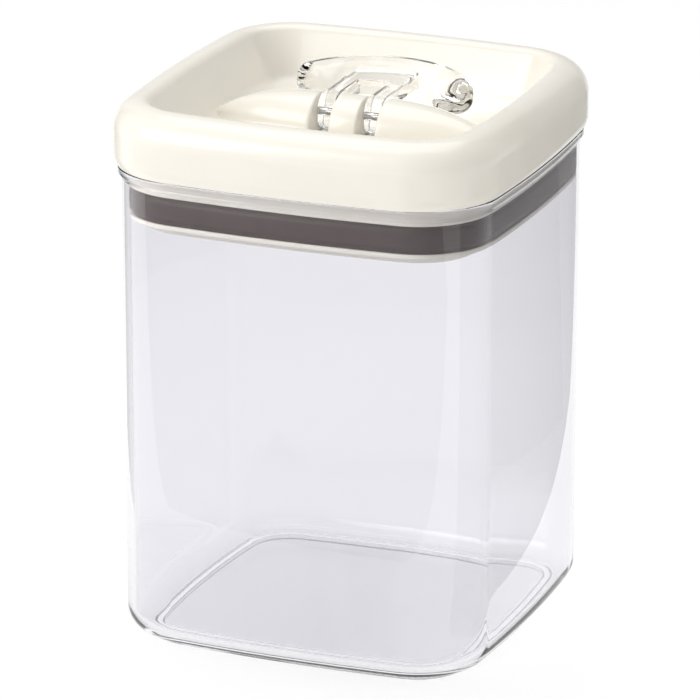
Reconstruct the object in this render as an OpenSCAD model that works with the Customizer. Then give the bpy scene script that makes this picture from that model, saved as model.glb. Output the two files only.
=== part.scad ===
// Square food canister with a flip-lever lid. Lifting the clear lever turns its two cams
// on the wear plate, so the pull rod and the pressure plate drop and the gasket relaxes.
// The lever is drawn folded back, which is the sealed position. Front is -Y, base at z = 0.

/* [Outline] */
// Distance from the centre line to each corner arc's centre
corner_at = 28.8; // [28.5:0.1:30]

/* [Jar] */
// Corner radius of the jar's outside at its base
jar_r_low = 25.9; // [25.5:0.1:26]
// Corner radius of the jar's outside under its rim
jar_r_top = 26.1; // [26:0.1:26.3]
// Thickness of the jar's wall
jar_wall = 2.2; // [2.2:0.1:2.8]
// Height of the jar's rim
jar_h = 136.9; // [136:0.1:136.9]
// Corner radius of the jar's rim flange
rim_r = 27.1; // [26.7:0.1:27.5]
// Height of the rim flange's upright face
rim_face = 1.9; // [1.5:0.1:2.5]
// Rounding between the jar's sides and its base
base_round = 7.0; // [5.5:0.1:8]
// Thickness of the jar's base
base_wall = 2.6; // [2:0.1:3]
// Corner radius of the foot ring's outside
foot_r = 18.2; // [17:0.1:18.6]
// Width of the foot ring
foot_w = 2.2; // [1.5:0.1:3]
// Height of the foot ring
foot_h = 1.6; // [1:0.1:2]

/* [Lid cover] */
// Overall height of the canister
total_h = 155; // [154:0.1:156]
// Corner radius of the lid at its widest
lid_r = 28.2; // [28.1:0.1:28.7]
// Height of the lid's lower edge
lid_low = 137.2; // [137.2:0.1:137.4]
// How far the lid's lower edge tucks in
lid_tuck = 1.0; // [0.6:0.1:1.2]
// Height where the lid is widest
lid_wide_z = 140.75; // [140:0.05:142]
// Radius of the lid's outer shoulder
shoulder_r = 8.0; // [7:0.1:8.5]
// Radius of the inner side of the lid's crest
crest_r = 3.0; // [2.5:0.1:4]
// Slope of the dish's wall, in degrees
dish_slope = 62; // [58:1:66]
// Radius between the dish's wall and its floor
dish_round = 5.0; // [4:0.1:6]
// Height of the dish's floor
dish_z = 140.4; // [140.4:0.1:140.6]
// Wall thickness of the lid cover
cover_wall = 2.0; // [1.8:0.1:2.2]

/* [Mound] */
// Half of the mound's length
mound_half = 43; // [40:0.5:44]
// Radius of the mound at its middle
mound_r = 9.4; // [9:0.1:9.5]
// Height of the mound's axis
mound_z = 141; // [140.8:0.1:141.2]
// How flat the mound's crown is: a larger power keeps it high for longer
mound_power = 3.3; // [2:0.1:4]
// Where the mound's flat back stands
mound_back = 3.0; // [2.5:0.1:4]
// Half width of the gap for the lever and the fin
gap_half = 9.6; // [9.6:0.1:10.5]

/* [Lever and rod] */
// Half thickness of the pull rod's fin
fin_half = 4.0; // [3.6:0.1:4]
// Radius of the pull rod's stem
stem_r = 4.0; // [3.5:0.1:4]
// Radius of the pivot pin
pin_r = 1.0; // [0.9:0.05:1.1]
// Running clearance round the pin and the stem
running = 0.05; // [0.02:0.01:0.09]
// Half width of the lever's arms, outside
arm_half = 9.3; // [8.8:0.1:9.3]
// Radius of the lever's cams
cam_r = 4.0; // [3.9:0.05:4]
// How far the pressure plate drops when the lever is up
drop = 2.4; // [2:0.1:2.4]
// Radius of the grip bar's centre line
grip_bend = 23.1; // [22.5:0.1:24]
// Width of the grip bar
grip_w = 12; // [11:0.1:12.5]
// Height of the grip bar
grip_h = 10.5; // [9.6:0.1:10.6]

/* [Seal] */
// Corner radius of the gasket's contact band
gasket_r = 23.6; // [23.3:0.1:23.6]
// Height of the gasket's lower face
gasket_low = 124.4; // [124.2:0.1:124.6]
// Height of the gasket's upper face
gasket_top = 132.2; // [132:0.1:132.4]

/* [Hidden] */

cut = 0.5;

// Jar rim
rim_slope = 1.4;
rim_bevel_w = 0.5;
rim_bevel_h = 0.7;

// Lid cover's section
edge_rise = lid_wide_z - lid_low;
edge_r = (edge_rise ^ 2 + lid_tuck ^ 2) / (2 * lid_tuck);
edge_angle = asin(edge_rise / edge_r);
crest_at = lid_r - shoulder_r;
crest_z = total_h - crest_r;
dish_round_z = dish_z + dish_round;
dish_round_at = crest_at
    - (crest_r + dish_round - (dish_round_z - crest_z) * cos(dish_slope)) / sin(dish_slope);
under_z = dish_z - cover_wall;
mound_hollow_half = mound_half - 6;

// Lever, cams and pin
pin_y = -1.0;
pin_z = 145.5;
cam_throw = drop / 2;
cam_y = pin_y + cam_throw;
cam_z = pin_z - cam_throw;
arm_play = 0.3;
arm_inner = fin_half + arm_play;
arm_r = 4.2;
arm_y = 0.6;
arm_top = 150.6;
web_low = 146.2;
web_front = 15;
grip_y = 11.7;
grip_end = 20;
grip_round = 4.5;
grip_low = 141.2;
grip_z = grip_low + grip_h / 2;
pin_half = 9.2;

// Wear plate under the cams
wear_low = 139.4;
wear_top = 140.0;
wear_front = -5;
wear_back = 6.5;
wear_half = 9.45;

// Opening for the fin through the lid's floor
fin_gap = 0.35;
fin_low = 136.0;
fin_front = -9.4;

// Plug, guide and rod under the cover
flange_play = 0.3;
plug_flange_r = lid_r - cover_wall - flange_play;
plug_r = 23.4;
skirt_wall = 2.0;
retainer_h = 1.4;
retainer_w = 3.2;
retainer_top = gasket_top + retainer_h;
well_r = 12.5;
well_low = 132.4;
pocket_low = 133.0;
pocket_half = 4.4;
pocket_front = -9.8;
pocket_back = 4.4;
boss_r = 8.5;
boss_low = 126;
stem_play = 0.3;
seal_section = 1.0;
bush_r = stem_r + running + 2 * seal_section;
bush_low = 129;
seal_low = bush_low - 2 * seal_section;
spring_r = 9.7;
spring_wire = 1.0;
screw_r = 1.25;
screw_at = corner_at + 12.1;
screw_top = 144.6;
screw_head_r = 2.4;
screw_head_h = 1.8;
cover_boss_r = 3.5;
cover_boss_top = 145.5;

// Gasket's section
gasket_w = 3.3;
lip_in = 0.8;
lip_h = 1.4;
gasket_waist = 1.2;

// Pressure plate and its fixing
plate_r = plug_r;
plate_rim = 1.35;
plate_low = 121.0;
plate_core_r = 19.6;
hub_r = 7.0;
hub_low = 117.6;
recess_r = 5.0;
recess_top = 122.2;
washer_h = 0.8;
washer_play = 0.6;
plate_screw_r = 1.5;
plate_screw_top = 131.0;
plate_head_r = 3.0;
plate_head_h = 2.2;
cap_h = 1.2;

function arc(x, z, r, from, to, steps = 8) =
    [for (i = [0:steps]) let (a = from + (to - from) * i / steps) [x + r * cos(a), z + r * sin(a)]];

function reversed(points) = [for (i = [len(points) - 1:-1:0]) points[i]];

// The cover's section, at a depth below its outer skin, from the shoulder to the dish floor
function cover_line(depth) = concat(
    arc(crest_at, total_h - shoulder_r, shoulder_r - depth, 0, 90),
    arc(crest_at, crest_z, crest_r - depth, 90, 90 + dish_slope),
    arc(dish_round_at, dish_round_z, dish_round + depth, dish_slope - 90, -90));

// Sweeps a section round the canister: x is the corner radius, y is the height
module sweep() {
    for (q = [0:3]) rotate(90 * q) translate([corner_at, corner_at, 0]) {
        rotate_extrude(angle = 90, $fn = 96) children();
        rotate([90, 0, 0]) linear_extrude(2 * corner_at) children();
    }
}

// The middle of a plate, which the sweep surrounds
module core(low, high) {
    box(-corner_at, corner_at, -corner_at, corner_at, low, high);
}

module slab(r, low, high) {
    core(low, high);
    sweep() translate([0, low]) square([r, high - low]);
}

module ring(inner, outer, low, high) {
    sweep() translate([inner, low]) square([outer - inner, high - low]);
}

module disc(r, low, high) {
    translate([0, 0, low]) cylinder(r = r, h = high - low, $fn = 96);
}

module box(x0, x1, y0, y1, z0, z1) {
    translate([x0, y0, z0]) cube([x1 - x0, y1 - y0, z1 - z0]);
}

module rod_x(r, y, z, half) {
    translate([-half, y, z]) rotate([0, 90, 0]) cylinder(r = r, h = 2 * half, $fn = 48);
}

module at_screws() {
    for (x = [-1, 1], y = [-1, 1]) translate([x * screw_at, y * screw_at, 0]) children();
}

// A solid of revolution about the X axis, high in the middle and closing at both ends
module spindle(half, r, steps = 24) {
    points = [for (i = [1:steps - 1]) let (x = half * (2 * i / steps - 1))
        [r * (1 - pow(abs(x) / half, mound_power)), x]];
    rotate([0, 90, 0]) rotate_extrude($fn = 96)
        polygon(concat([[0, -half]], points, [[0, half]]));
}

module jar_body() {
    round_at = jar_r_low - base_round;
    floor_z = foot_h + base_wall;
    inner_round = base_round - jar_wall;
    rim_low = jar_h - rim_face;
    bore_r = jar_r_top - jar_wall;
    wall = concat(
        [[0, foot_h], [foot_r - foot_w, foot_h], [foot_r - foot_w, 0], [foot_r, 0], [foot_r, foot_h]],
        arc(round_at, foot_h + base_round, base_round, -90, 0),
        [[jar_r_top, rim_low - rim_slope], [rim_r, rim_low], [rim_r, jar_h],
         [bore_r + rim_bevel_w, jar_h],
         [bore_r, jar_h - rim_bevel_h]],
        arc(round_at, floor_z + inner_round, inner_round, 0, -90), [[0, floor_z]]);
    color([0.88, 0.88, 0.91, 0.4]) {
        sweep() polygon(wall);
        core(foot_h, floor_z);
    }
}

module mound() {
    difference() {
        intersection() {
            translate([0, 0, mound_z]) spindle(mound_half, mound_r);
            box(-mound_half, mound_half, -mound_r, mound_back, under_z, total_h);
        }
        box(-gap_half, gap_half, -mound_r - cut, mound_back + cut, dish_z, total_h);
    }
}

module mound_hollow() {
    for (side = [0, 1]) mirror([side, 0, 0]) intersection() {
        translate([0, 0, mound_z]) spindle(mound_hollow_half, mound_r - cover_wall);
        box(gap_half + cover_wall, mound_half, -mound_r, mound_back - cover_wall, under_z - cut, total_h);
    }
}

module lid_cover() {
    section = concat(
        [[0, under_z], [dish_round_at, under_z]],
        reversed(cover_line(cover_wall)),
        [[lid_r - cover_wall, lid_low]],
        arc(lid_r - edge_r, lid_wide_z, edge_r, -edge_angle, 0),
        cover_line(0), [[0, dish_z]]);
    color("ivory") difference() {
        union() {
            sweep() polygon(section);
            core(under_z, dish_z);
            mound();
            at_screws() disc(cover_boss_r, under_z, cover_boss_top);
        }
        mound_hollow();
        box(-fin_half - fin_gap, fin_half + fin_gap, fin_front - fin_gap, mound_back + fin_gap,
            under_z - cut, dish_z + cut);
        box(-wear_half, wear_half, wear_front, wear_back, wear_low, dish_z + cut);
        at_screws() disc(screw_r, under_z - cut, screw_top);
    }
}

module cam_wear_plate() {
    slot = fin_half + fin_gap;
    color("silver") difference() {
        box(-wear_half, wear_half, wear_front, wear_back, wear_low, wear_top);
        box(-slot, slot, wear_front - cut, mound_back + fin_gap, wear_low - cut, wear_top + cut);
    }
}

module lid_plug() {
    color("ivory") difference() {
        union() {
            slab(plug_flange_r, lid_low, under_z);
            ring(plug_r - skirt_wall, plug_r, retainer_top, lid_low);
            disc(well_r, well_low, lid_low);
            disc(boss_r, boss_low, well_low);
        }
        box(-pocket_half, pocket_half, pocket_front, pocket_back, pocket_low, under_z + cut);
        disc(bush_r, seal_low, pocket_low + cut);
        disc(stem_r + stem_play, boss_low - cut, seal_low + cut);
        at_screws() disc(screw_r, lid_low - cut, under_z + cut);
    }
}

module seal_retainer() {
    color("oldlace") ring(plug_r - retainer_w, plug_r, gasket_top, retainer_top);
}

module plug_screws() {
    color("silver") at_screws() {
        disc(screw_head_r, lid_low - screw_head_h, lid_low);
        disc(screw_r, lid_low, screw_top);
    }
}

module guide_bush() {
    color("white") difference() {
        disc(bush_r, bush_low, pocket_low);
        disc(stem_r + running, bush_low - cut, pocket_low + cut);
    }
}

module rod_seal() {
    color("dimgray") translate([0, 0, bush_low - seal_section]) rotate_extrude($fn = 96)
        translate([bush_r - seal_section, 0]) circle(seal_section, $fn = 32);
}

module return_spring() {
    color("gray") difference() {
        disc(spring_r + spring_wire, gasket_low, well_low);
        disc(spring_r, gasket_low - cut, well_low + cut);
    }
}

module seal_gasket() {
    middle = (gasket_low + gasket_top) / 2;
    lip = gasket_r - lip_in;
    back = gasket_r - gasket_w;
    color([0.33, 0.27, 0.26]) sweep() polygon([
        [back, gasket_low], [lip, gasket_low], [gasket_r, gasket_low + lip_h],
        [gasket_r, gasket_top - lip_h], [lip, gasket_top], [back, gasket_top],
        [back + gasket_waist, middle]]);
}

module pull_rod() {
    color("ivory") difference() {
        union() {
            intersection() {
                rod_x(mound_r, 0, mound_z, fin_half);
                box(-fin_half, fin_half, -mound_r, mound_back, dish_z - 1, total_h);
            }
            box(-fin_half, fin_half, fin_front, mound_back, fin_low, mound_z);
            disc(stem_r, gasket_low, fin_low + 0.5);
        }
        rod_x(pin_r, pin_y, pin_z, fin_half + cut);
        disc(plate_screw_r, gasket_low - cut, plate_screw_top);
    }
}

module pivot_pin() {
    color("silver") rod_x(pin_r, pin_y, pin_z, pin_half);
}

module pressure_plate() {
    rim_low = gasket_low - plate_rim;
    color("ivory") difference() {
        union() {
            sweep() polygon([
                [0, plate_low], [plate_core_r, plate_low], [plate_core_r, rim_low],
                [plate_r, rim_low], [plate_r, gasket_low], [0, gasket_low]]);
            core(plate_low, gasket_low);
            disc(hub_r, hub_low, gasket_low - cut);
        }
        disc(recess_r, hub_low - cut, recess_top);
        disc(plate_screw_r, recess_top - cut, gasket_low + cut);
    }
}

module plate_screw() {
    seat = recess_top - washer_h;
    color("silver") {
        disc(plate_head_r, seat - plate_head_h, seat);
        disc(plate_screw_r, seat, plate_screw_top);
    }
}

module plate_washer() {
    color("gainsboro") difference() {
        disc(recess_r - washer_play, recess_top - washer_h, recess_top);
        disc(plate_screw_r, recess_top - washer_h - cut, recess_top + cut);
    }
}

module plate_cap() {
    color("ivory") disc(recess_r, hub_low, hub_low + cap_h);
}

module grip_section() {
    x = grip_w / 2 - grip_round;
    z = grip_h / 2 - grip_round;
    square([2 * x, grip_h], center = true);
    square([grip_w, 2 * z], center = true);
    for (sx = [-1, 1], sz = [-1, 1]) translate([sx * x, sz * z]) circle(grip_round, $fn = 48);
}

// One arm's side view: the cam, its front boss and the bar back to the web
module arm_section() {
    translate([cam_y, cam_z]) circle(cam_r, $fn = 96);
    translate([arm_y, arm_top - arm_r]) circle(arm_r, $fn = 96);
    translate([arm_y, web_low]) square([web_front - arm_y + 2 * cut, arm_top - web_low]);
}

module lever() {
    web_back = grip_y + grip_bend;
    color([0.9, 0.92, 0.95, 0.4]) difference() {
        union() {
            for (x = [-arm_half, arm_inner]) translate([x, 0, 0]) rotate([90, 0, 90])
                linear_extrude(arm_half - arm_inner) arm_section();
            box(-arm_half, arm_half, web_front, web_back, web_low, arm_top);
            translate([0, grip_y, grip_z]) rotate(grip_end)
                rotate_extrude(angle = 180 - 2 * grip_end, $fn = 180)
                    translate([grip_bend, 0]) grip_section();
        }
        rod_x(pin_r + running, pin_y, pin_z, arm_half + cut);
    }
}

jar_body();
lid_cover();
cam_wear_plate();
lid_plug();
seal_retainer();
plug_screws();
guide_bush();
rod_seal();
return_spring();
seal_gasket();
pull_rod();
pivot_pin();
pressure_plate();
plate_screw();
plate_washer();
plate_cap();
lever();
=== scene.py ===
import math

import bmesh
import bpy
from mathutils import Matrix, Vector


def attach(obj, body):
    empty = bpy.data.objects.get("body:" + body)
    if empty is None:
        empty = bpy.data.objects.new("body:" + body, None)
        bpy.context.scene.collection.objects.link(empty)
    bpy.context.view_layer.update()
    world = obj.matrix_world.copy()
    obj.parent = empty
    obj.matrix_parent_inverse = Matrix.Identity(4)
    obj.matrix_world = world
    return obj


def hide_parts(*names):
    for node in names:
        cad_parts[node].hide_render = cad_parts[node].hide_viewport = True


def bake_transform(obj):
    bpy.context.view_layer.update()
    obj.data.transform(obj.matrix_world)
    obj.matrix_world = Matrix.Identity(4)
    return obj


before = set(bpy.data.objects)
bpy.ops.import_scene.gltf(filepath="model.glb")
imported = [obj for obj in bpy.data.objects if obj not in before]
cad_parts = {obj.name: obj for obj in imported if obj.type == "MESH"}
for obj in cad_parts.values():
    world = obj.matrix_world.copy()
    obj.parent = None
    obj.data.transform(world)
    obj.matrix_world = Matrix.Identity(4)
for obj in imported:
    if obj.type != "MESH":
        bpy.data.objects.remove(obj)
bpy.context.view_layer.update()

MM = 0.001

# Outline of the canister, in millimetres: four bowed sides joined by corner arcs
CORNER_AT = 31.7
SIDE_BOW = 1.2
SIDE_BACK = (CORNER_AT ** 2 - SIDE_BOW ** 2) / (2 * SIDE_BOW) - CORNER_AT
SIDE_R = CORNER_AT + SIDE_BACK + SIDE_BOW
SIDE_HALF = math.atan(CORNER_AT / (CORNER_AT + SIDE_BACK))
SIDE_STEPS = 16
CORNER_STEPS = 24

# Heights and radii that several pieces share, in millimetres
LID_R = 24.1
TOP_Z = 155.0
LID_LOW = 137.2
DISH_Z = 140.4
WALL = 2.0
PLUG_R = 19.3
GASKET_R = 19.5
GASKET_LOW = 124.4
GASKET_TOP = 132.2
PIN_Y = -1.0
PIN_Z = 145.5
MOUND_Z = 141.0
MOUND_R = 9.4
MOUND_HALF = 43.0
MOUND_POWER = 3.3
MOUND_BACK = 3.0
GAP_HALF = 9.6
FIN_HALF = 4.0
ARM_INNER = 4.3
ARM_HALF = 9.3
CAM_THROW = 1.2
COVER_UNDER = 138.4
RETAINER_TOP = 133.6

# The camera's turn about the vertical, from straight in front
CAMERA_TURN = math.radians(21.85)


# ---------------------------------------------------------------- mesh helpers

def arc(cx, cz, r, start, end, steps=10):
    """Points of an arc in a section, from one angle to another, in degrees."""
    out = []
    for i in range(steps + 1):
        a = math.radians(start + (end - start) * i / steps)
        out.append((cx + r * math.cos(a), cz + r * math.sin(a)))
    return out


def outline_stations():
    """Where each point of the outline grows from, and its direction."""
    stations = []
    for q in range(4):
        turn = Matrix.Rotation(math.radians(90 * q), 2)
        for i in range(SIDE_STEPS):
            a = -SIDE_HALF + 2 * SIDE_HALF * i / SIDE_STEPS
            ray = Vector((math.cos(a), math.sin(a)))
            stations.append((turn @ (Vector((-SIDE_BACK, 0)) + ray * SIDE_R), turn @ ray))
        for i in range(CORNER_STEPS):
            a = SIDE_HALF + (math.pi / 2 - 2 * SIDE_HALF) * i / CORNER_STEPS
            ray = Vector((math.cos(a), math.sin(a)))
            stations.append((turn @ Vector((CORNER_AT, CORNER_AT)), turn @ ray))
    return stations


STATIONS = outline_stations()


def finish_mesh(name, bm, smooth_angle=35):
    """Turns a bmesh in millimetres into an object in metres with soft shading."""
    bmesh.ops.remove_doubles(bm, verts=bm.verts, dist=1e-4)
    bmesh.ops.recalc_face_normals(bm, faces=bm.faces)
    bmesh.ops.scale(bm, vec=(MM, MM, MM), verts=bm.verts)
    limit = math.radians(smooth_angle)
    for edge in bm.edges:
        edge.smooth = len(edge.link_faces) == 2 and edge.calc_face_angle(0) < limit
    for face in bm.faces:
        face.smooth = True
    mesh = bpy.data.meshes.new(name)
    bm.to_mesh(mesh)
    bm.free()
    piece = bpy.data.objects.new(name, mesh)
    bpy.context.scene.collection.objects.link(piece)
    return piece


def add_ring(bm, r, z):
    return [bm.verts.new((p.x + d.x * r, p.y + d.y * r, z)) for p, d in STATIONS]


def bridge(bm, a, b):
    n = len(a)
    for i in range(n):
        bm.faces.new((a[i], a[(i + 1) % n], b[(i + 1) % n], b[i]))


def add_sweep(bm, section, closed=False, cap_start=False, cap_end=False):
    """Sweeps a section of (corner radius, height) points round the outline."""
    rings = [add_ring(bm, r, z) for r, z in section]
    for a, b in zip(rings, rings[1:]):
        bridge(bm, a, b)
    if closed:
        bridge(bm, rings[-1], rings[0])
    if cap_start:
        bm.faces.new(rings[0])
    if cap_end:
        bm.faces.new(rings[-1])
    return rings


def add_lathe(bm, section, steps=64, closed=False, axis="Z", centre=(0, 0, 0)):
    """Turns a section of (radius, height) points about an axis; a zero radius closes an end."""
    rings = []
    for r, h in section:
        count = 1 if r == 0 else steps
        ring = []
        for i in range(count):
            a = 2 * math.pi * i / steps
            x, y = r * math.cos(a), r * math.sin(a)
            at = (x, y, h) if axis == "Z" else (h, x, y)
            ring.append(bm.verts.new(Vector(at) + Vector(centre)))
        rings.append(ring)
    pairs = list(zip(rings, rings[1:]))
    if closed:
        pairs.append((rings[-1], rings[0]))
    for a, b in pairs:
        for i in range(steps):
            j = (i + 1) % steps
            corners = [a[i % len(a)], a[j % len(a)], b[j % len(b)], b[i % len(b)]]
            face = list(dict.fromkeys(corners))
            if len(face) > 2:
                bm.faces.new(face)


def add_loft(bm, loops):
    """Joins loops of points of the same length, and closes both ends."""
    rings = [[bm.verts.new(p) for p in loop] for loop in loops]
    for a, b in zip(rings, rings[1:]):
        bridge(bm, a, b)
    bm.faces.new(rings[0])
    bm.faces.new(rings[-1])


def rounded_rect(cx, cz, w, h, r, steps=6):
    """A rounded rectangle as a loop of points."""
    out = []
    for q, (sx, sz) in enumerate(((1, 1), (-1, 1), (-1, -1), (1, -1))):
        x, z = cx + sx * (w / 2 - r), cz + sz * (h / 2 - r)
        out += arc(x, z, r, 90 * q, 90 * q + 90, steps)
    return out


def place(piece, body, slot, material, *nodes):
    """Gives a piece its material and its body, and hides the CAD nodes that it stands for."""
    piece.data.materials.append(material)
    if nodes:
        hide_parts(*nodes)
    if body:
        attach(piece, body)
    return piece


def let_light_through(piece):
    """Clear plastic casts no solid shadow, so what is behind it stays lit."""
    piece.visible_shadow = False
    return piece


# ---------------------------------------------------------------- materials

def new_material(name):
    mat = bpy.data.materials.new(name)
    mat.use_nodes = True
    return mat, mat.node_tree, mat.node_tree.nodes["Principled BSDF"]


def noise_bump(tree, shader, scale, height, detail=3):
    """Fine surface unevenness, from the object's own coordinates."""
    coords = tree.nodes.new("ShaderNodeTexCoord")
    noise = tree.nodes.new("ShaderNodeTexNoise")
    noise.inputs["Scale"].default_value = scale
    noise.inputs["Detail"].default_value = detail
    bump = tree.nodes.new("ShaderNodeBump")
    bump.inputs["Strength"].default_value = 1.0
    bump.inputs["Distance"].default_value = height
    tree.links.new(coords.outputs["Object"], noise.inputs["Vector"])
    tree.links.new(noise.outputs["Fac"], bump.inputs["Height"])
    tree.links.new(bump.outputs["Normal"], shader.inputs["Normal"])
    return noise


def vary(tree, noise, socket, low, high):
    """Lets a noise move a value or a colour between two ends."""
    ramp = tree.nodes.new("ShaderNodeValToRGB")
    ramp.color_ramp.elements[0].position = 0.35
    ramp.color_ramp.elements[1].position = 0.65
    ramp.color_ramp.elements[0].color = low
    ramp.color_ramp.elements[1].color = high
    tree.links.new(noise.outputs["Fac"], ramp.inputs["Fac"])
    tree.links.new(ramp.outputs["Color"], socket)


def grey(value):
    return (value, value, value, 1)


def ivory_plastic():
    mat, tree, shader = new_material("ivory_plastic")
    noise = noise_bump(tree, shader, 55, 0.00003)
    vary(tree, noise, shader.inputs["Base Color"], (0.885, 0.845, 0.755, 1), (0.905, 0.868, 0.782, 1))
    vary(tree, noise, shader.inputs["Roughness"], grey(0.20), grey(0.27))
    shader.inputs["IOR"].default_value = 1.5
    shader.inputs["Coat Weight"].default_value = 0.25
    shader.inputs["Coat Roughness"].default_value = 0.12
    return mat


def clear_acrylic(name, tint, waviness, ior):
    mat, tree, shader = new_material(name)
    noise = noise_bump(tree, shader, 18, waviness, 1)
    vary(tree, noise, shader.inputs["Roughness"], grey(0.0), grey(0.015))
    shader.inputs["Base Color"].default_value = tint
    shader.inputs["Transmission Weight"].default_value = 1.0
    shader.inputs["IOR"].default_value = ior
    return mat


def dark_silicone():
    mat, tree, shader = new_material("dark_silicone")
    noise = noise_bump(tree, shader, 400, 0.00004)
    vary(tree, noise, shader.inputs["Base Color"], (0.074, 0.052, 0.047, 1), (0.088, 0.062, 0.056, 1))
    vary(tree, noise, shader.inputs["Roughness"], grey(0.42), grey(0.52))
    shader.inputs["Specular IOR Level"].default_value = 0.4
    return mat


def steel(name, stretch):
    """Steel with fine drawn lines along one direction."""
    mat, tree, shader = new_material(name)
    noise = noise_bump(tree, shader, 600, 0.00001)
    mapping = tree.nodes.new("ShaderNodeMapping")
    mapping.inputs["Scale"].default_value = stretch
    coords = next(n for n in tree.nodes if n.type == "TEX_COORD")
    tree.links.new(coords.outputs["Object"], mapping.inputs["Vector"])
    tree.links.new(mapping.outputs["Vector"], noise.inputs["Vector"])
    vary(tree, noise, shader.inputs["Base Color"], (0.52, 0.51, 0.50, 1), (0.66, 0.65, 0.64, 1))
    vary(tree, noise, shader.inputs["Roughness"], grey(0.18), grey(0.34))
    shader.inputs["Metallic"].default_value = 1.0
    return mat


def white_bearing():
    mat, tree, shader = new_material("white_bearing")
    noise = noise_bump(tree, shader, 300, 0.00003)
    vary(tree, noise, shader.inputs["Base Color"], (0.80, 0.80, 0.78, 1), (0.86, 0.86, 0.84, 1))
    vary(tree, noise, shader.inputs["Roughness"], grey(0.4), grey(0.5))
    return mat


IVORY = ivory_plastic()
JAR_CLEAR = clear_acrylic("clear_jar", (0.908, 0.904, 0.930, 1), 0.00001, 1.49)
LEVER_CLEAR = clear_acrylic("clear_lever", (0.99, 0.99, 0.995, 1), 0.00001, 1.36)
SILICONE = dark_silicone()
STEEL = steel("steel", (1, 12, 1))
TURNED_STEEL = steel("turned_steel", (12, 1, 1))
BEARING = white_bearing()


# ---------------------------------------------------------------- pieces

def jar():
    """Clear jar: ring foot, rounded base, tapered wall, and the flange that the lid covers."""
    low_r, top_r, wall = 21.8, 22.0, 2.2
    foot_r, foot_w, foot_h = 14.1, 2.2, 1.6
    base_round, floor_z = 7.0, 4.2
    rim_r, rim_low, jar_h = 23.0, 135.0, 136.9
    inner_round = base_round - wall
    soft = 0.4
    section = [(foot_r - foot_w - 0.3, foot_h)]
    section += arc(foot_r - foot_w + soft, soft, soft, 180, 270, 4)
    section += arc(foot_r - soft, soft, soft, -90, 0, 4)
    section += arc(foot_r + 0.3, foot_h - 0.3, 0.3, 180, 90, 3)
    section += arc(low_r - base_round, foot_h + base_round, base_round, -85, 0, 14)
    section += [(top_r, rim_low - 1.6), (top_r + 0.1, rim_low - 1.3)]
    section += [(rim_r - 0.2, rim_low - 0.2), (rim_r, rim_low + 0.1)]
    section += arc(rim_r - soft, jar_h - soft, soft, 0, 90, 5)
    section += arc(top_r - wall + 0.8, jar_h - 0.8, 0.8, 90, 180, 6)
    section += arc(low_r - base_round, floor_z + inner_round, inner_round, 0, -90, 14)
    bm = bmesh.new()
    add_sweep(bm, section, cap_start=True, cap_end=True)
    return let_light_through(place(finish_mesh("jar", bm), "jar", "clear_jar", JAR_CLEAR, "jar_body"))


def cover_section(depth):
    """The cover's skin from its shoulder to the dish floor, at a depth below the surface."""
    slope = 62
    shoulder, crest, dish_round = 8.0, 3.0, 5.0
    crest_at, crest_z = LID_R - shoulder, TOP_Z - crest
    round_z = DISH_Z + dish_round
    lean = math.radians(slope)
    round_at = crest_at - (crest + dish_round - (round_z - crest_z) * math.cos(lean)) / math.sin(lean)
    points = arc(crest_at, TOP_Z - shoulder, shoulder - depth, 0, 90, 18)
    points += arc(crest_at, crest_z, crest - depth, 90, 90 + slope, 12)
    points += arc(round_at, round_z, dish_round + depth, slope - 90, -90, 12)
    return points


def pocket_ring(bm, ring, z, half, front, back):
    """A rectangular ring with one point for each point of the outline ring."""
    centre = Vector((0, (front + back) / 2))
    half_y = (back - front) / 2
    points = []
    for vert in ring:
        ray = vert.co.xy - centre
        stretch = min(half / max(abs(ray.x), 1e-9), half_y / max(abs(ray.y), 1e-9))
        points.append(centre + ray * stretch)
    for sx in (-1, 1):
        for sy in (-1, 1):
            corner = centre + Vector((sx * half, sy * half_y))
            nearest = min(range(len(points)), key=lambda i: (points[i] - corner).length)
            points[nearest] = corner
    return [bm.verts.new((p.x, p.y, z)) for p in points]


def mound_loops(side):
    """Sections across one half of the mound, from its gap face to its tip."""
    edge = 0.9
    turn, steps = 5, 48
    bury = 0.6
    loops = []
    for i in range(turn + steps):
        if i < turn:
            a = math.radians(90 * i / turn)
            inset = edge * (1 - math.sin(a))
            x = GAP_HALF + edge * (1 - math.cos(a))
        else:
            inset = 0
            x = GAP_HALF + edge + (MOUND_HALF - 0.4 - GAP_HALF - edge) * (i - turn) / (steps - 1)
        r = max(MOUND_R * (1 - (x / MOUND_HALF) ** MOUND_POWER) - inset, 0.05)
        back = min(MOUND_BACK - inset, r * 0.9)
        height = MOUND_Z + r - DISH_Z
        fillet = min(2.4, 0.4 * height + 0.1)
        loop = [(-r - fillet - 0.2, DISH_Z - bury), (-r - fillet, DISH_Z)]
        loop += arc(-r - fillet, DISH_Z + fillet, fillet, -90, -22, 6)
        start = max(math.degrees(math.atan2(loop[-1][1] - MOUND_Z, -loop[-1][0])), 2) + 4
        crown = math.degrees(math.acos(min(max((back - 0.8) / max(r, 0.9), -1), 1)))
        for k in range(23):
            a = math.radians(start + (180 - crown - start) * k / 22)
            loop.append((-r * math.cos(a), MOUND_Z + r * math.sin(a)))
        soft = min(0.8, height * 0.3)
        loop += arc(back - soft, loop[-1][1] - soft * 0.8, soft, 70, 0, 5)
        loop += [(back, DISH_Z + soft), (back, DISH_Z - bury)]
        loops.append([(side * x, y, z) for y, z in loop])
    return loops


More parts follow.
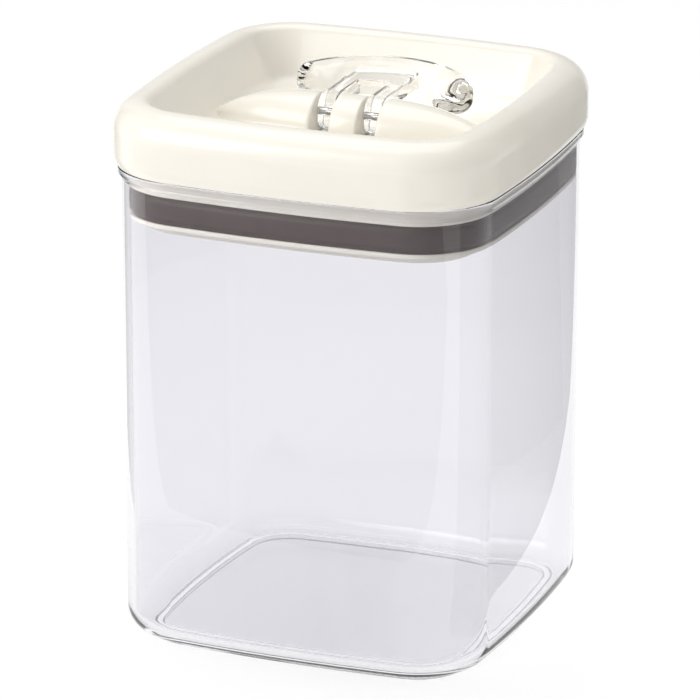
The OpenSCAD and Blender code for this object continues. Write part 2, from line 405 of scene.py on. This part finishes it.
def lid_cover():
    """Ivory cover: rolled rim, steep dish, cam pocket, and the two halves of the mound."""
    edge_r, wide_z = 6.8, 140.75
    outer = arc(LID_R - edge_r, wide_z, edge_r, -31, 0, 8)
    outer = [(outer[0][0] - 0.25, LID_LOW)] + outer + cover_section(0)
    inner = cover_section(WALL)[::-1] + [(LID_R - WALL, LID_LOW)]
    bm = bmesh.new()
    outer_rings = add_sweep(bm, outer)
    inner_rings = add_sweep(bm, inner)
    bridge(bm, inner_rings[-1], outer_rings[0])
    pocket = (9.55, -9.75, 6.6)
    top = pocket_ring(bm, outer_rings[-1], DISH_Z, *pocket)
    low = pocket_ring(bm, outer_rings[-1], DISH_Z - WALL, *pocket)
    bridge(bm, outer_rings[-1], top)
    bridge(bm, top, low)
    bridge(bm, low, inner_rings[0])
    for side in (-1, 1):
        add_loft(bm, mound_loops(side))
    boss_at = CORNER_AT + 13 * math.cos(math.radians(45))
    boss_r, bore_r, boss_top, bore_top, soft = 3.5, 1.3, 145.2, 144.6, 0.4
    boss = [(0, boss_top), (boss_r - soft, boss_top), (boss_r, boss_top - soft), (boss_r, COVER_UNDER),
            (bore_r, COVER_UNDER), (bore_r, bore_top), (0, bore_top)]
    for x in (-1, 1):
        for y in (-1, 1):
            add_lathe(bm, boss, 32, centre=(x * boss_at, y * boss_at, 0))
    return place(finish_mesh("cover", bm), "lid", "ivory_plastic", IVORY, "lid_cover")


def lid_plug():
    """Ivory plug: flange, skirt, the well that the fin sinks into and the stem's boss."""
    flange_r = LID_R - WALL - 0.3
    skirt_low = RETAINER_TOP
    bm = bmesh.new()
    well = (6.3, -9.8, 6.3)
    section = [(flange_r, COVER_UNDER), (flange_r, LID_LOW + 0.2), (flange_r - 0.2, LID_LOW)]
    section += [(PLUG_R + 0.3, LID_LOW), (PLUG_R, LID_LOW - 0.3)]
    section += arc(PLUG_R - 0.3, skirt_low + 0.3, 0.3, 0, -90, 4)
    section += arc(PLUG_R - 1.7, skirt_low + 0.3, 0.3, -90, -180, 4)
    section += [(PLUG_R - 2.0, LID_LOW - 0.6), (PLUG_R - 2.6, LID_LOW)]
    rings = add_sweep(bm, section)
    top = pocket_ring(bm, rings[0], COVER_UNDER, *well)
    bottom = pocket_ring(bm, rings[0], 133.0, *well)
    bridge(bm, rings[0], top)
    bridge(bm, top, bottom)
    under = circle_ring(bm, rings[-1], 12.5, LID_LOW)
    bridge(bm, rings[-1], under)
    previous = under
    for r, z in ((12.5, 132.8), (12.1, 132.4), (8.9, 132.4), (8.5, 132.0), (8.5, 126.4), (8.1, 126.0),
                 (4.3, 126.0), (4.3, 127.0), (6.05, 127.0), (6.05, 133.0)):
        ring = circle_ring(bm, rings[-1], r, z)
        bridge(bm, previous, ring)
        previous = ring
    bridge(bm, previous, bottom)
    return place(finish_mesh("plug", bm), "lid", "ivory_plastic", IVORY, "lid_plug")


def circle_ring(bm, ring, r, z):
    """A circle with one point for each point of the outline ring."""
    out = []
    for vert in ring:
        ray = vert.co.xy.normalized() * r
        out.append(bm.verts.new((ray.x, ray.y, z)))
    return out


def seal_retainer():
    low, high = GASKET_TOP, RETAINER_TOP
    outer, inner, soft = PLUG_R, PLUG_R - 3.2, 0.25
    section = []
    for q, (r, z) in enumerate(((outer - soft, high - soft), (inner + soft, high - soft),
                                (inner + soft, low + soft), (outer - soft, low + soft))):
        section += arc(r, z, soft, 90 * q, 90 * q + 90, 3)
    bm = bmesh.new()
    add_sweep(bm, section, closed=True)
    return place(finish_mesh("retainer", bm), "lid", "ivory_plastic", IVORY, "seal_retainer")


def gasket():
    """Silicone ring: a wide contact band between two bevelled lips, hollowed at its back."""
    low, high, r = GASKET_LOW, GASKET_TOP, GASKET_R
    mid = (low + high) / 2
    section = [(r - 3.3, low), (r - 0.9, low)]
    section += arc(r - 0.95, low + 0.25, 0.25, -60, 0, 3)
    section += [(r - 0.62, low + 0.9), (r - 0.15, low + 1.4)]
    section += arc(r - 0.5, low + 1.9, 0.5, -40, 0, 3)
    section += arc(r - 0.5, high - 1.9, 0.5, 0, 40, 3)
    section += [(r - 0.15, high - 1.4), (r - 0.62, high - 0.9)]
    section += arc(r - 0.95, high - 0.25, 0.25, 0, 60, 3)
    section += [(r - 0.9, high), (r - 3.3, high)]
    section += [(r - 2.5, mid + 1.6), (r - 2.1, mid), (r - 2.5, mid - 1.6)]
    bm = bmesh.new()
    add_sweep(bm, section, closed=True)
    piece = place(finish_mesh("gasket", bm), None, "dark_silicone", SILICONE, "seal_gasket")
    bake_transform(piece)
    return piece


def coil_spring():
    """Compression spring of round wire, with closed ends, between the plug and the plate."""
    low, high, wire, r = GASKET_LOW + 0.5, 131.9, 0.5, 10.2
    turns, per_turn, sides = 4.5, 40, 10
    count = int(turns * per_turn)
    loops = []
    for i in range(count + 1):
        t = i / count
        eased = min(max((t * turns - 0.7) / (turns - 1.4), 0), 1)
        z = low + (high - low) * (0.06 * t + 0.94 * eased)
        a = 2 * math.pi * turns * t
        out = Vector((math.cos(a), math.sin(a), 0))
        centre = out * r + Vector((0, 0, z))
        loops.append([centre + out * wire * math.cos(b) + Vector((0, 0, wire * math.sin(b)))
                      for b in [2 * math.pi * k / sides for k in range(sides)]])
    bm = bmesh.new()
    add_loft(bm, loops)
    piece = place(finish_mesh("spring", bm), None, "steel", TURNED_STEEL, "return_spring")
    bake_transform(piece)
    return piece


def fin_loop(inset):
    """Side view of the fin, drawn in from its edge by an inset."""
    r = MOUND_R - inset
    back = MOUND_BACK - inset
    low = 136.0 + inset
    soft = 0.8
    loop = [(-r, low), (-r, MOUND_Z - 1)]
    crown = math.degrees(math.acos((back - soft) / r))
    loop += [(-r * math.cos(math.radians(a)), MOUND_Z + r * math.sin(math.radians(a)))
             for a in [(180 - crown) * k / 30 for k in range(31)]]
    loop += arc(back - soft, loop[-1][1] - soft, soft, 80, 0, 5)
    loop += [(back, low)]
    return loop


def pull_rod():
    """Ivory fin with a stem: its front and top follow the mound's curve."""
    edge = 0.7
    loops = []
    for side in (-1, 1):
        steps = range(5) if side < 0 else range(4, -1, -1)
        for k in steps:
            a = math.radians(22.5 * k)
            x = side * (FIN_HALF - edge + edge * math.cos(a))
            inset = edge * (1 - math.sin(a))
            loops.append([(x, y, z) for y, z in fin_loop(inset)])
    bm = bmesh.new()
    add_loft(bm, loops)
    stem_r, stem_top, bore_r, bore_top = 4.0, 136.4, 1.5, 131
    stem = [(0, stem_top), (stem_r, stem_top), (stem_r, 124.8), (stem_r - 0.3, GASKET_LOW),
            (bore_r, GASKET_LOW), (bore_r, bore_top), (0, bore_top)]
    add_lathe(bm, stem, 48)
    return place(finish_mesh("rod", bm), "rod", "ivory_plastic", IVORY, "pull_rod")


def pivot_pin():
    bm = bmesh.new()
    half, r, soft = 9.2, 1.0, 0.25
    section = [(0, -half), (r - soft, -half), (r, soft - half),
               (r, half - soft), (r - soft, half), (0, half)]
    add_lathe(bm, section, 40, axis="X", centre=(0, PIN_Y, PIN_Z))
    return place(finish_mesh("pin", bm), "rod", "steel", TURNED_STEEL, "pivot_pin")


def pressure_plate():
    """Ivory plate: thin rim under the gasket, thicker middle, and a hub with its screw recess."""
    high, rim_low, low = GASKET_LOW, 123.05, 121.0
    core_r, hub_r, hub_low = 15.5, 7.0, 117.6
    recess_r, recess_top, bore_r = 5.0, 122.2, 1.6
    section = arc(PLUG_R - 0.3, high - 0.3, 0.3, 90, 0, 4)
    section += arc(PLUG_R - 0.3, rim_low + 0.3, 0.3, 0, -90, 4)
    section += arc(core_r + 0.5, rim_low - 0.5, 0.5, 90, 180, 4)
    section += arc(core_r - 0.8, low + 0.8, 0.8, 0, -90, 5)
    bm = bmesh.new()
    rings = add_sweep(bm, section)
    top = circle_ring(bm, rings[0], bore_r, high)
    bridge(bm, rings[0], top)
    previous = top
    for r, z in ((bore_r, recess_top), (recess_r, recess_top),
                 (recess_r, hub_low + 0.2), (recess_r + 0.2, hub_low),
                 (hub_r - 0.6, hub_low), (hub_r - 0.2, hub_low + 0.2), (hub_r, hub_low + 0.6),
                 (hub_r, low - 1.2), (hub_r + 0.35, low - 0.35), (hub_r + 1.2, low)):
        ring = circle_ring(bm, rings[0], r, z)
        bridge(bm, previous, ring)
        previous = ring
    bridge(bm, previous, rings[-1])
    return place(finish_mesh("pressure_plate_shell", bm), "rod", "ivory_plastic", IVORY, "pressure_plate")


def lever_arm(bm, x0, x1):
    """One arm's solid: the cam, its rounded front and the bar back to the web."""
    cam = (PIN_Y + CAM_THROW, PIN_Z - CAM_THROW, 4.0)
    head = (0.6, 146.4, 4.2)
    bar_back, bar_low, bar_top = 17.0, 146.2, 150.6
    loop = arc(cam[0], cam[1], cam[2], 0, -180, 20)[1:]
    loop += arc(head[0], head[1], head[2], 172, 90, 14)
    loop += [(bar_back, bar_top), (bar_back, bar_low), (cam[0] + cam[2] + 1.0, bar_low)]
    add_loft(bm, [[(x, y, z) for y, z in loop] for x in (x0, x1)])


def lever():
    """Clear lever: two cam arms, a web and a bent grip bar, run together into one moulding."""
    grip_y, bend, end = 11.7, 23.1, 20
    low, high, width = 141.2, 151.7, 12.0
    bm = bmesh.new()
    for side in (-1, 1):
        lever_arm(bm, side * ARM_INNER, side * ARM_HALF)
    web_z, web_h, web_front = 148.4, 4.4, 15.0
    web = rounded_rect(0, web_z, 2 * ARM_HALF, web_h, 0.8)
    add_loft(bm, [[(x, y, z) for x, z in web] for y in (web_front, grip_y + bend)])
    steps = 64
    soft = 3.2
    sweep = math.radians(180 - 2 * end)
    grip = []
    for i in range(steps + 1):
        # the steps crowd towards both ends, where the section draws in
        t = 0.5 - 0.5 * math.cos(math.pi * i / steps)
        a = math.radians(end) + sweep * t
        away = min(t, 1 - t) * sweep * bend
        pull = soft - math.sqrt(soft ** 2 - max(soft - away, 0) ** 2)
        section = rounded_rect(bend, (high + low) / 2, width - 2 * pull, high - low - 2 * pull,
                               4.5 - 0.8 * pull)
        grip.append([(x * math.cos(a), grip_y + x * math.sin(a), z) for x, z in section])
    add_loft(bm, grip)
    piece = finish_mesh("lever_moulding", bm)
    melt(piece, 0.0003, 14)
    drill(piece)
    return let_light_through(place(piece, "lever", "clear_lever", LEVER_CLEAR, "lever"))


def apply_modifiers(piece):
    """Replaces a piece's mesh by what its modifiers make of it."""
    graph = bpy.context.evaluated_depsgraph_get()
    mesh = bpy.data.meshes.new_from_object(piece.evaluated_get(graph))
    piece.modifiers.clear()
    piece.data = mesh


def melt(piece, voxel, rounds):
    """Runs overlapping solids together into one, and softens the edges."""
    remesh = piece.modifiers.new("melt", "REMESH")
    remesh.mode = "VOXEL"
    remesh.voxel_size = voxel
    remesh.use_smooth_shade = True
    smooth = piece.modifiers.new("soften", "SMOOTH")
    smooth.factor = 0.5
    smooth.iterations = rounds
    apply_modifiers(piece)


def drill(piece):
    """Bores the pin's hole through the lever's arms."""
    r, reach = 1.05, 14
    bm = bmesh.new()
    add_lathe(bm, [(0, -reach), (r, -reach), (r, reach), (0, reach)], 40, axis="X",
              centre=(0, PIN_Y, PIN_Z))
    cutter = finish_mesh("cutter", bm)
    cut = piece.modifiers.new("bore", "BOOLEAN")
    cut.object = cutter
    cut.solver = "EXACT"
    apply_modifiers(piece)
    bpy.data.objects.remove(cutter)


def carried_over():
    """CAD nodes that keep their shape and get their finish here."""
    finishes = {
        "cam_wear_plate": STEEL, "plug_screws": TURNED_STEEL, "plate_screw": TURNED_STEEL,
        "plate_washer": STEEL, "guide_bush": BEARING, "rod_seal": SILICONE, "plate_cap": IVORY,
    }
    for name, material in finishes.items():
        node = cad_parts[name]
        node.data.materials.clear()
        node.data.materials.append(material)


# ---------------------------------------------------------------- camera, floor and light

def look_along(obj, direction):
    obj.rotation_euler = Vector(direction).to_track_quat("-Z", "Y").to_euler()


def camera():
    azimuth, elevation = CAMERA_TURN, math.radians(19.06)
    distance, target = 1.5, Vector((0, 0, 0.080))
    shift_left, shift_down = 0.000934, 0.003262
    back = Vector((math.sin(azimuth) * math.cos(elevation), -math.cos(azimuth) * math.cos(elevation),
                   math.sin(elevation)))
    right = Vector((math.cos(azimuth), math.sin(azimuth), 0))
    up = back.cross(right)
    data = bpy.data.cameras.new("camera")
    data.sensor_width = 36
    data.lens = 276.9
    cam = bpy.data.objects.new("camera", data)
    bpy.context.scene.collection.objects.link(cam)
    cam.location = target + back * distance - right * shift_left - up * shift_down
    look_along(cam, -back)
    bpy.context.scene.camera = cam


def floor():
    bm = bmesh.new()
    bmesh.ops.create_grid(bm, x_segments=4, y_segments=4, size=6000)
    piece = finish_mesh("floor", bm)
    mat, tree, shader = new_material("pale_floor")
    noise = noise_bump(tree, shader, 3, 0.0)
    vary(tree, noise, shader.inputs["Base Color"], (0.39, 0.39, 0.39, 1), (0.41, 0.41, 0.41, 1))
    shader.inputs["Roughness"].default_value = 0.9
    shader.inputs["Specular IOR Level"].default_value = 0.0
    shader.inputs["Emission Color"].default_value = (1, 1, 1, 1)
    shader.inputs["Emission Strength"].default_value = 0.64
    piece.data.materials.append(mat)


def area_light(name, location, size, power, aim=(0, 0, 0.08)):
    data = bpy.data.lights.new(name, "AREA")
    data.shape = "RECTANGLE"
    data.size, data.size_y = size
    data.energy = power
    light = bpy.data.objects.new(name, data)
    bpy.context.scene.collection.objects.link(light)
    light.location = location
    look_along(light, Vector(aim) - Vector(location))


def dark_card(name, centre, size, facing, shade):
    """A dark card that shows only in reflections, and not through the clear walls."""
    bm = bmesh.new()
    bmesh.ops.create_grid(bm, x_segments=1, y_segments=1, size=500)
    card = finish_mesh(name, bm)
    card.scale = (size[0], size[1], 1)
    card.location = centre
    look_along(card, facing)
    mat, tree, shader = new_material(name)
    shader.inputs["Base Color"].default_value = grey(shade)
    shader.inputs["Roughness"].default_value = 1.0
    card.data.materials.append(mat)
    card.visible_camera = False
    card.visible_diffuse = False
    card.visible_transmission = False
    card.visible_shadow = False


def light():
    scene = bpy.context.scene
    world = bpy.data.worlds.new("studio")
    scene.world = world
    world.use_nodes = True
    background = world.node_tree.nodes["Background"]
    background.inputs["Color"].default_value = (1, 1, 1, 1)
    background.inputs["Strength"].default_value = 0.54
    scene.view_settings.view_transform = "Standard"
    area_light("key", (-0.85, -0.95, 0.75), (0.9, 0.9), 9.6)
    area_light("top", (-0.1, 0.2, 1.2), (1.0, 1.0), 5.5)
    # one card on each side of the camera's view, which the jar's upright edges reflect
    right = Vector((math.cos(CAMERA_TURN), math.sin(CAMERA_TURN), 0))
    behind = Vector((-math.sin(CAMERA_TURN), math.cos(CAMERA_TURN), 0))
    for name, side in (("card_left", -1), ("card_right", 1)):
        centre = right * side * 0.13 + behind * 0.07 + Vector((0, 0, 0.18))
        dark_card(name, centre, (0.09, 0.36), -side * right, 0.10)
    # two lying on the floor, which the jar's walls reflect in front of the gasket
    dark_card("card_front", (-0.25, -0.42, 0.002), (0.9, 0.6), (0, 0, 1), 0.12)
    dark_card("card_behind", (0.30, 0.30, 0.002), (0.45, 0.72), (0, 0, 1), 0.20)


camera()
floor()
light()
jar()
lid_cover()
lid_plug()
seal_retainer()
gasket()
coil_spring()
pull_rod()
pivot_pin()
pressure_plate()
lever()
carried_over()
